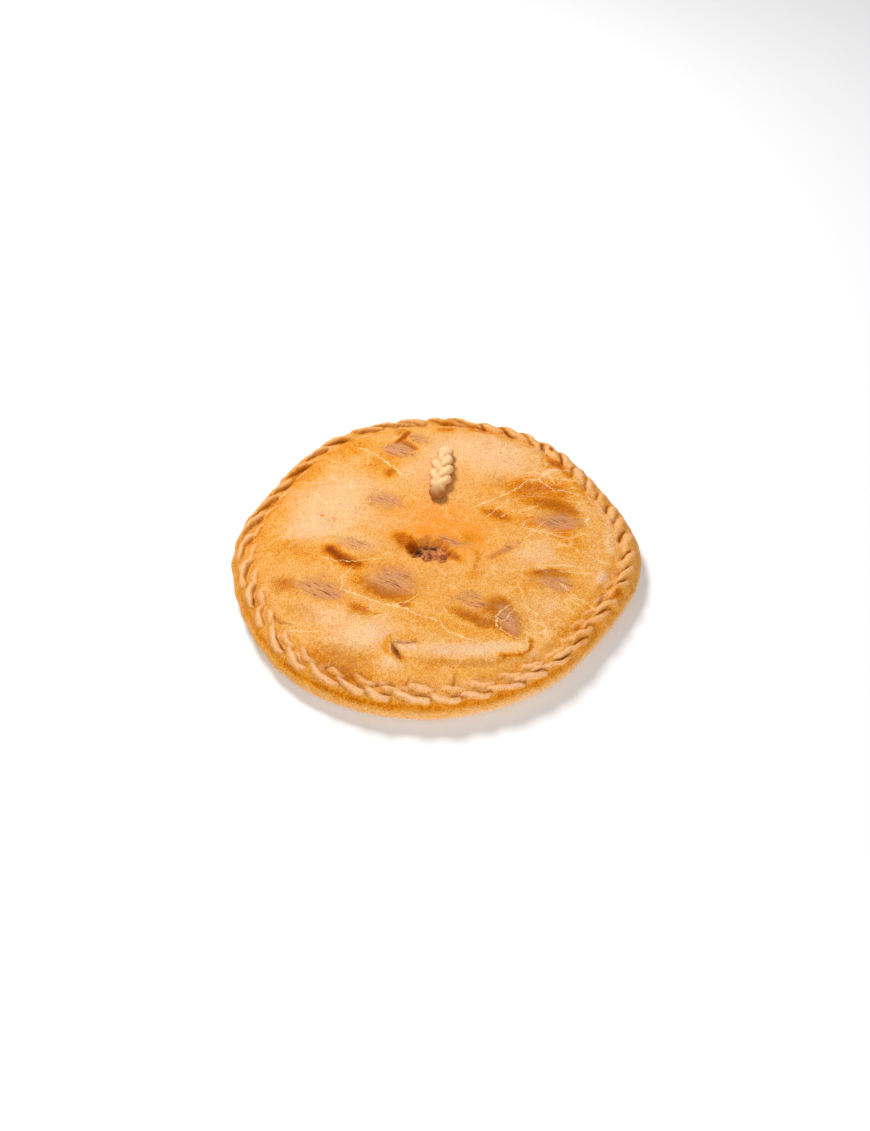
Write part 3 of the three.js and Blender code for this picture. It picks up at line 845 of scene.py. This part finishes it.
# specks: a few white grains on the glaze: x, y, size

saltGrains = [
    (115, 23, 1.9), (113.5, 21, 1.3), (116.5, 24.6, 1.4), (114.6, 18.6, 1.0), (67, 15, 1.2), (74, 10, 1.0),
    (78, 6.5, 0.8), (-4, -50, 1.3), (68.5, 13, 0.8), (82, 11, 0.7), (71, -3, 0.7),
]


def makeGrains():
    chance = random.Random(3)
    grains = []
    for x, y, size in saltGrains:
        selectOnly()
        bpy.ops.mesh.primitive_ico_sphere_add(subdivisions=3, radius=size / 2000)
        grain = bpy.context.object
        stretch = (chance.uniform(0.8, 1.5), chance.uniform(0.7, 1.2), chance.uniform(0.5, 0.7))
        fitActive(stretch, lidPoint(x, y, size * 0.2))
        points = readPoints(grain)
        lumps = noiseAt(points, 0.9, x)
        middle = points.mean(0)
        writePoints(grain, middle + (points - middle) * (1 + 0.35 * lumps[:, None]))
        grains.append(grain)
    selectOnly(*grains)
    bpy.ops.object.join()
    piece = bpy.context.object
    bpy.ops.object.shade_smooth()
    piece.name = "salt_grains"
    return piece


grainPiece = makeGrains()
print("grains made")


# finishes

class Nodes:  # short ways to add nodes to one tree
    def __init__(self, tree):
        self.tree = tree

    def feed(self, node, inputs):
        for key, value in inputs.items():
            if isinstance(value, bpy.types.NodeSocket):
                self.tree.links.new(value, node.inputs[key])
            else:
                node.inputs[key].default_value = value

    def add(self, kind, inputs=None, **settings):
        made = self.tree.nodes.new(kind if kind.startswith("Node") else "ShaderNode" + kind)
        for key, value in settings.items():
            setattr(made, key, value)
        self.feed(made, inputs or {})
        return made

    def mask(self, name):
        return self.add("Attribute", attribute_name=name).outputs["Fac"]

    def mix(self, factor, first, second, blend="MIX"):
        inputs = {0: factor, 6: first, 7: second}
        return self.add("Mix", inputs, data_type="RGBA", blend_type=blend).outputs[2]

    def span(self, value, low, high, toLow, toHigh):
        inputs = {"Value": value, "From Min": low, "From Max": high, "To Min": toLow, "To Max": toHigh}
        return self.add("MapRange", inputs).outputs[0]

    def spread(self, noise, toLow, toHigh):  # over the usual range of a noise
        return self.span(noise, 0.3, 0.7, toLow, toHigh)

    def reckon(self, operation, *values, clamp=False):
        return self.add("Math", dict(enumerate(values)), operation=operation, use_clamp=clamp).outputs[0]

    def chain(self, operation, total, *others):
        for other in others:
            total = self.reckon(operation, total, other)
        return total

    def plus(self, *values):
        return self.chain("ADD", *values)

    def times(self, *values):
        return self.chain("MULTIPLY", *values)

    def largest(self, *values):
        return self.chain("MAXIMUM", *values)

    def share(self, *values):  # a product that is held between 0 and 1
        return self.reckon("MULTIPLY", self.times(*values), 1.0, clamp=True)

    def weigh(self, total, *parts):  # adds each value times its weight
        for value, weight in parts:
            total = self.reckon("MULTIPLY_ADD", value, weight, total)
        return total

    def stir(self, total, *parts):  # the same with noises, each taken from its middle
        half = sum(weight for value, weight in parts) / 2
        return self.weigh(self.plus(total, -half), *parts)

    def vector(self, operation, *values):
        return self.add("VectorMath", dict(enumerate(values)), operation=operation).outputs[0]

    def noise(self, place, scale, detail=2, roughness=0.5, output=0):
        inputs = {"Vector": place, "Scale": scale, "Detail": detail, "Roughness": roughness}
        return self.add("TexNoise", inputs).outputs[output]

    def drift(self, place, *settings):
        return self.vector("SUBTRACT", self.noise(place, *settings, output="Color"), (0.5, 0.5, 0.5))

    def shifted(self, place, drift, reach):
        return self.vector("MULTIPLY_ADD", drift, [reach] * 3, place)

    def cells(self, place, scale):  # distance to the borders of a net of cells
        inputs = {"Vector": place, "Scale": scale}
        return self.add("TexVoronoi", inputs, feature="DISTANCE_TO_EDGE").outputs["Distance"]

    def ramp(self, value, stops):
        made = self.add("ValToRGB", {"Fac": value})
        elements = made.color_ramp.elements
        while len(elements) < len(stops):
            elements.new(0.5)
        for element, (place, tone) in zip(elements, stops):
            element.position, element.color = place, tone
        return made.outputs["Color"]

    def shade(self, inputs):
        self.feed(self.tree.nodes["Principled BSDF"], inputs)

    def surface(self, tone, speckle, relief, settings):
        bump = {"Strength": settings["bump"], "Distance": settings["depth"], "Height": relief}
        self.shade({
            "Base Color": tone,
            "Roughness": self.spread(speckle, *settings["rough"]),
            "Specular IOR Level": settings["shine"],
            "Specular Tint": settings["shineTone"],
            "Normal": self.add("Bump", bump).outputs[0],
        })


doughNoises = dict(  # scale, detail, roughness
    Cloud=(55, 3, 0.55),
    Mottle=(170, 5, 0.65),
    Speckle=(620, 4, 0.7),
    Fine=(1050, 3, 0.65),
)


def makeDoughGrain():  # clouds, mottling, speckle, pores and fine relief of baked dough
    group = bpy.data.node_groups.new("doughGrain", "ShaderNodeTree")
    group.interface.new_socket("Vector", in_out="INPUT", socket_type="NodeSocketVector")
    for name in (*doughNoises, "Pores", "Height"):
        group.interface.new_socket(name, in_out="OUTPUT", socket_type="NodeSocketFloat")
    nodes = Nodes(group)
    place = nodes.add("NodeGroupInput").outputs["Vector"]
    made = {name: nodes.noise(place, *settings) for name, settings in doughNoises.items()}
    dots = nodes.add("TexVoronoi", {"Vector": place, "Scale": 420, "Randomness": 1.0}).outputs["Distance"]
    some = nodes.span(made["Mottle"], 0.46, 0.6, 0, 1)
    made["Pores"] = nodes.times(nodes.span(dots, 0.08, 0.2, 1, 0), some)
    made["Height"] = nodes.weigh(made["Speckle"], (made["Fine"], 0.5), (made["Pores"], -0.5))
    nodes.add("NodeGroupOutput", made)
    return group


def newFinish(name):
    finish = bpy.data.materials.new(name)
    finish.use_nodes = True
    nodes = Nodes(finish.node_tree)
    return finish, nodes, nodes.add("TexCoord").outputs["Object"]


def grainOf(nodes, coords, group):
    return nodes.add("Group", {"Vector": coords}, node_tree=group).outputs


crustTones = dict(
    bake=[  # from hardly baked to nearly burnt
        (0.0, (0.80, 0.50, 0.275, 1)), (0.17, (0.79, 0.43, 0.185, 1)), (0.34, (0.76, 0.35, 0.08, 1)),
        (0.47, (0.74, 0.31, 0.037, 1)), (0.62, (0.69, 0.22, 0.005, 1)), (0.77, (0.50, 0.115, 0.001, 1)),
        (0.9, (0.34, 0.066, 0.001, 1)), (1.0, (0.19, 0.032, 0.001, 1)),
    ],
    # olive: browning with painted shade on front faces
    olive=(0.40, 0.118, 0.006, 1),
    stain=(0.83, 0.262, 0.014, 1),
    toast=(0.60, 0.26, 0.108, 1),
    hair=(0.20, 0.05, 0.005, 1),
    # the lobes' crests: paler dough with painted highlight
    blush=(0.90, 0.50, 0.27, 1),
    # foot: pale floury dough with painted bounce light
    foot=(0.95, 0.73, 0.55, 1),
    # painted shade in the creases, cuts and wrinkles
    fold=(0.36, 0.085, 0.004, 1),
    crease=(0.16, 0.03, 0.003, 1),
    # painted shade in the hole of the small cut
    slit=(0.40, 0.105, 0.015, 1),
    crack=(0.93, 0.61, 0.29, 1),
    pore=(0.34, 0.10, 0.015, 1),
    surface=dict(rough=(0.40, 0.58), shine=0.12, shineTone=(1, 0.6, 0.25, 1), bump=0.6, depth=0.0005),
)
glazeCracks = dict(
    size=62, craze=170,  # cells to the metre, of the net and of the finest lines
    stray=0.011, fanStray=0.005,  # how far the lines wander, in metres
    width=0.012,
    fanX=0.03, fanY=-0.01,  # the rays of the fan meet as far from the middle the other way
    fanRays=46, fanRings=4.4,
    brush=55.0,  # fineness of the streaks that the brush left
)


def findCracks(nodes, coords):  # long cracks from the masks, and a fine net that runs outwards on the right
    glaze = glazeCracks
    wobble = nodes.noise(coords, 330, 5, 0.7)
    line = nodes.plus(nodes.mask("crackSide"), nodes.span(wobble, 0.2, 0.8, -2.4, 2.4))
    width = nodes.largest(nodes.mask("crackWidth"), 0.05)
    line = nodes.reckon("DIVIDE", nodes.reckon("ABSOLUTE", line), width)
    close = nodes.span(nodes.mask("crackNear"), 2.2, 3.6, 1, 0)
    crack = nodes.times(nodes.span(line, 0.7, 1.8, 1, 0), close)

    drift = nodes.drift(coords, 210, 4, 0.6)
    place = nodes.shifted(coords, drift, glaze["stray"])
    patches = nodes.noise(coords, 48)
    net = nodes.span(nodes.cells(place, glaze["size"]), glaze["width"], glaze["width"] * 2.2, 1, 0)
    net = nodes.times(net, nodes.span(patches, 0.44, 0.56, 0, 0.5))

    axes = nodes.add("SeparateXYZ", {0: nodes.shifted(coords, drift, glaze["fanStray"])}).outputs
    east, north = nodes.plus(axes[0], glaze["fanX"]), nodes.plus(axes[1], glaze["fanY"])
    rays = nodes.times(nodes.reckon("ARCTAN2", north, east), glaze["fanRays"] / math.pi)
    reach = nodes.reckon("SQRT", nodes.plus(nodes.times(east, east), nodes.times(north, north)))
    rings = nodes.times(reach, glaze["fanRings"] / 0.15)
    fan = nodes.cells(nodes.add("CombineXYZ", {0: rays, 1: rings}).outputs[0], 1.0)
    right = nodes.span(axes[0], 0.03, 0.07, 0, 1)
    fan = nodes.times(nodes.span(fan, 0.018, 0.045, 1, 0), right, nodes.span(patches, 0.4, 0.52, 0, 0.6))

    baked = nodes.mask("bake")
    craze = nodes.span(nodes.cells(place, glaze["craze"]), 0.02, 0.07, 1, 0)
    craze = nodes.times(craze, nodes.span(wobble, 0.42, 0.6, 0, 0.4), nodes.span(baked, 0.4, 0.58, 1, 0))
    bare = nodes.span(nodes.mask("toast"), 0, 0.4, 1, 0.1)  # few lines where it is toasted or dark
    bare = nodes.times(bare, nodes.span(baked, 0.5, 0.75, 1, 0.15))
    return nodes.largest(crack, nodes.times(nodes.largest(net, craze, fan), bare, nodes.mask("inside")))


def brushStreaks(nodes, coords):  # long fine streaks that run outwards from the middle
    brush = glazeCracks["brush"]
    flat = nodes.vector("MULTIPLY", coords, (1, 1, 0))
    place = nodes.shifted(flat, nodes.drift(coords, 60), 0.03)
    reach = nodes.add("VectorMath", {0: place}, operation="LENGTH").outputs["Value"]
    aim = nodes.vector("MULTIPLY", nodes.vector("NORMALIZE", place), [brush] * 3)
    out = nodes.add("CombineXYZ", {2: nodes.times(reach, brush)}).outputs[0]
    return nodes.noise(nodes.vector("ADD", aim, out), 1.0, 4, 0.7)


def paintToast(nodes, coords, tone, grain):  # greyish toasted patches with dark hairlines
    mask = nodes.mask("toast")
    edge = nodes.stir(mask, (grain["Mottle"], 1.2), (grain["Speckle"], 0.5), (grain["Fine"], 0.7))
    toast = nodes.times(nodes.span(edge, 0.15, 0.85, 0, 1), nodes.span(mask, 0.02, 0.2, 0, 1))
    tone = nodes.mix(toast, tone, crustTones["toast"])
    along = {"Vector": coords, "Rotation": (0, 0, -0.5), "Scale": (0.011, 0.0011, 0.011)}
    along = nodes.add("Mapping", along, vector_type="TEXTURE").outputs[0]
    lines = nodes.add("TexNoise", {"Vector": along, "Scale": 1.0, "Detail": 2, "Distortion": 0.8}).outputs[0]
    hair = nodes.times(toast, nodes.span(lines, 0.54, 0.66, 0, 0.95))
    return nodes.mix(hair, tone, crustTones["hair"])


def paintFoldShade(nodes, tone, grain):  # painted shade: dark lines between the lobes, in the cuts and in the wrinkles
    wobble = nodes.spread(grain["Speckle"], -0.3, 0.3)
    line = nodes.reckon("ABSOLUTE", nodes.plus(nodes.mask("foldSide"), wobble))
    held = nodes.times(nodes.mask("foldDark"), nodes.span(grain["Mottle"], 0.38, 0.58, 0.6, 1))
    cut = nodes.mask("crease")
    for share, name in [
        (nodes.times(nodes.span(line, 0.4, 2.2, 0.85, 0), held), "fold"),
        (nodes.times(nodes.span(line, 0.1, 0.5, 0.5, 0), held), "crease"),
        (nodes.share(cut, 1.6), "fold"),
        (nodes.span(cut, 0.3, 0.6, 0, 0.75), "crease"),
    ]:
        tone = nodes.mix(share, tone, crustTones[name])
    return tone


def paintSlitShade(nodes, coords, tone, grain):  # painted shade in the hole of the small cut, darker on one side
    slit = {"Vector": coords, "Location": lidPoint(lidSlit["x"], lidSlit["y"]),
            "Rotation": (0, 0, math.radians(lidSlit["turn"])),
            "Scale": (lidSlit["length"] / 2000, lidSlit["width"] / 2000, 1)}
    slit = nodes.add("Mapping", slit, vector_type="TEXTURE").outputs[0]
    axes = nodes.add("SeparateXYZ", {0: slit}).outputs
    ends = nodes.times(axes[0], axes[0])
    across = nodes.weigh(axes[1], (nodes.plus(ends, -0.33), -0.5))
    wobble = nodes.spread(grain["Speckle"], -0.2, 0.2)
    border = nodes.plus(nodes.reckon("ABSOLUTE", across), ends, wobble)
    inside = nodes.mix(nodes.span(across, -0.1, 0.5, 0, 1), crustTones["slit"], crustTones["crease"])
    return nodes.mix(nodes.span(border, 0.75, 1.1, 0.95, 0), tone, inside)


def finishCrust(grainGroup):
    finish, nodes, coords = newFinish("bakedCrust")
    tones = crustTones
    grain = grainOf(nodes, coords, grainGroup)
    cloud, mottle, speckle, fine = [grain[name] for name in doughNoises]
    streaks = brushStreaks(nodes, coords)
    crack = findCracks(nodes, coords)

    # browning, then the washes over it
    baked = nodes.mask("bake")
    uneven = nodes.stir(0, (cloud, 0.25), (mottle, 0.4), (speckle, 0.15), (fine, 0.75), (streaks, 0.7))
    bake = nodes.weigh(baked, (uneven, nodes.span(baked, 0.5, 0.85, 1, 0.4)))
    tone = nodes.ramp(bake, tones["bake"])
    broken = nodes.span(nodes.plus(mottle, speckle), 0.8, 1.2, 0.55, 1.4)
    calm = nodes.span(broken, 0.55, 1.4, 0.7, 1.1)
    stained = nodes.span(baked, 0.45, 0.7, 0.9, 0.15)
    for name, weight, patchy in [
        ("olive", 0.7, broken), ("stain", stained, broken), ("blush", 0.9, broken), ("foot", 1.0, calm),
    ]:
        tone = nodes.mix(nodes.share(nodes.mask(name), weight, patchy), tone, tones[name])
    tone = paintToast(nodes, coords, tone, grain)
    tone = paintFoldShade(nodes, tone, grain)
    tone = paintSlitShade(nodes, coords, tone, grain)
    tone = nodes.mix(nodes.times(crack, 0.95), tone, tones["crack"])
    tone = nodes.mix(nodes.times(grain["Pores"], 0.3), tone, tones["pore"])

    # grit, which is redder where it is darker
    light = nodes.span(nodes.weigh(nodes.times(speckle, 0.2), (fine, 1.6)), 0.6, 1.2, 1.36, 0.6)
    warm, deep = nodes.reckon("POWER", light, 1.15), nodes.reckon("POWER", light, 1.5)
    deep = nodes.times(deep, nodes.span(nodes.plus(cloud, mottle), 0.75, 1.25, 0.6, 1.4))
    tint = nodes.add("CombineColor", {0: light, 1: warm, 2: deep}).outputs[0]
    tone = nodes.mix(0.5, tone, tint, "MULTIPLY")
    relief = nodes.weigh(grain["Height"], (crack, 0.3), (streaks, 0.6))
    nodes.surface(tone, speckle, relief, tones["surface"])
    return finish


plaitTones = dict(
    dough=(0.70, 0.37, 0.15, 1),
    # crown: the upper side painted lighter as lit; toast serves the browned foot and the painted contact
    # shade
    crown=(0.86, 0.55, 0.27, 1),
    toast=(0.34, 0.10, 0.015, 1),
    surface=dict(rough=(0.5, 0.68), shine=0.15, shineTone=(1, 1, 1, 1), bump=0.4, depth=0.0003),
)


def finishPlait(grainGroup):
    finish, nodes, coords = newFinish("plaitDough")
    tones = plaitTones
    grain = grainOf(nodes, coords, grainGroup)
    tone = nodes.mix(nodes.mask("crown"), tones["dough"], tones["crown"])
    patchy = nodes.spread(grain["Mottle"], 0.7, 1.2)
    tone = nodes.mix(nodes.share(nodes.mask("toast"), patchy), tone, tones["toast"])
    nodes.surface(tone, grain["Speckle"], grain["Height"], tones["surface"])
    return finish


fillingTones = dict(
    meat=(0.44, 0.115, 0.03, 1),
    onion=(0.82, 0.34, 0.13, 1),
    # painted shade in the holes and between the lumps
    hollow=(0.06, 0.012, 0.002, 1),
    surface=dict(rough=(0.3, 0.5), shine=0.2, shineTone=(1, 0.6, 0.3, 1), bump=1.0, depth=0.001),
)


def finishFilling(grainGroup):
    finish, nodes, coords = newFinish("cookedFilling")
    tones = fillingTones
    grain = grainOf(nodes, coords, grainGroup)
    flecks = nodes.weigh(nodes.plus(grain["Speckle"], grain["Fine"]), (grain["Mottle"], 1.2))
    tone = nodes.mix(nodes.span(flecks, 1.4, 1.85, 0, 1), tones["meat"], tones["onion"])
    tone = nodes.mix(nodes.mask("hollow"), tone, tones["hollow"])
    nodes.surface(tone, grain["Speckle"], grain["Height"], tones["surface"])
    return finish


grainTones = dict(shade=(0.95, 0.80, 0.58, 1), light=(1.0, 0.95, 0.86, 1))


def finishGrains():
    finish, nodes, coords = newFinish("whiteGrain")
    tone = nodes.mix(nodes.noise(coords, 900), grainTones["shade"], grainTones["light"])
    nodes.shade({"Base Color": tone, "Roughness": 0.4})
    return finish


doughGrain = makeDoughGrain()
crustPiece.data.materials.append(finishCrust(doughGrain))
plaitPiece.data.materials.append(finishPlait(doughGrain))
fillingPiece.data.materials.append(finishFilling(doughGrain))
grainPiece.data.materials.append(finishGrains())
print("finishes made")


# each piece rides on the pie and stands for its solid

for piece, slot, node in [(crustPiece, "crust", "crust"), (fillingPiece, "filling", "filling"),
                          (plaitPiece, "plait_dough", "dough_plait"), (grainPiece, "crust", None)]:
    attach(piece, "root")
    if node:
        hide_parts(node)


# studio

studio = dict(
    floorTone=(0.93, 0.93, 0.93, 1),
    world=0.42,
    lamps=[  # place, size, watts
        ((-0.45, 0.7, 1.15), 0.5, 17),
        ((0.2, -1.2, 0.45), 0.9, 8),
    ],
    camera=(0, -707.1, 722.1), target=(0.9, -15.4, 15),  # millimetres, before the pie is centred
    lens=42.84,
)


def inFrame(place):  # the frame's metres, after the pie is centred
    return Vector([(value + shift) / 1000 for value, shift in zip(place, pieMiddle)])


def aimAt(piece, target):
    piece.rotation_euler = (target - piece.location).to_track_quat("-Z", "Y").to_euler()


def makeStudio():
    selectOnly()
    bpy.ops.mesh.primitive_plane_add(size=6, location=(0, 0, -0.0004))
    floor = bpy.context.object
    floor.name = "floor"
    paper = bpy.data.materials.new("palePaper")
    paper.use_nodes = True
    Nodes(paper.node_tree).shade({"Base Color": studio["floorTone"], "Roughness": 0.9})
    floor.data.materials.append(paper)
    target = inFrame(studio["target"])
    for place, size, watts in studio["lamps"]:
        bpy.ops.object.light_add(type="AREA", location=place)
        lamp = bpy.context.object
        lamp.data.shape = "DISK"
        lamp.data.size = size
        lamp.data.energy = watts
        aimAt(lamp, target)
    world = bpy.data.worlds.new("studio")
    world.use_nodes = True
    sky = world.node_tree.nodes["Background"]
    Nodes(world.node_tree).feed(sky, {"Color": (1, 1, 1, 1), "Strength": studio["world"]})
    bpy.context.scene.world = world
    bpy.ops.object.camera_add(location=inFrame(studio["camera"]))
    camera = bpy.context.object
    aimAt(camera, target)
    camera.data.lens = studio["lens"]
    bpy.context.scene.camera = camera
    bpy.context.scene.view_settings.view_transform = "Standard"


makeStudio()
print("studio set")
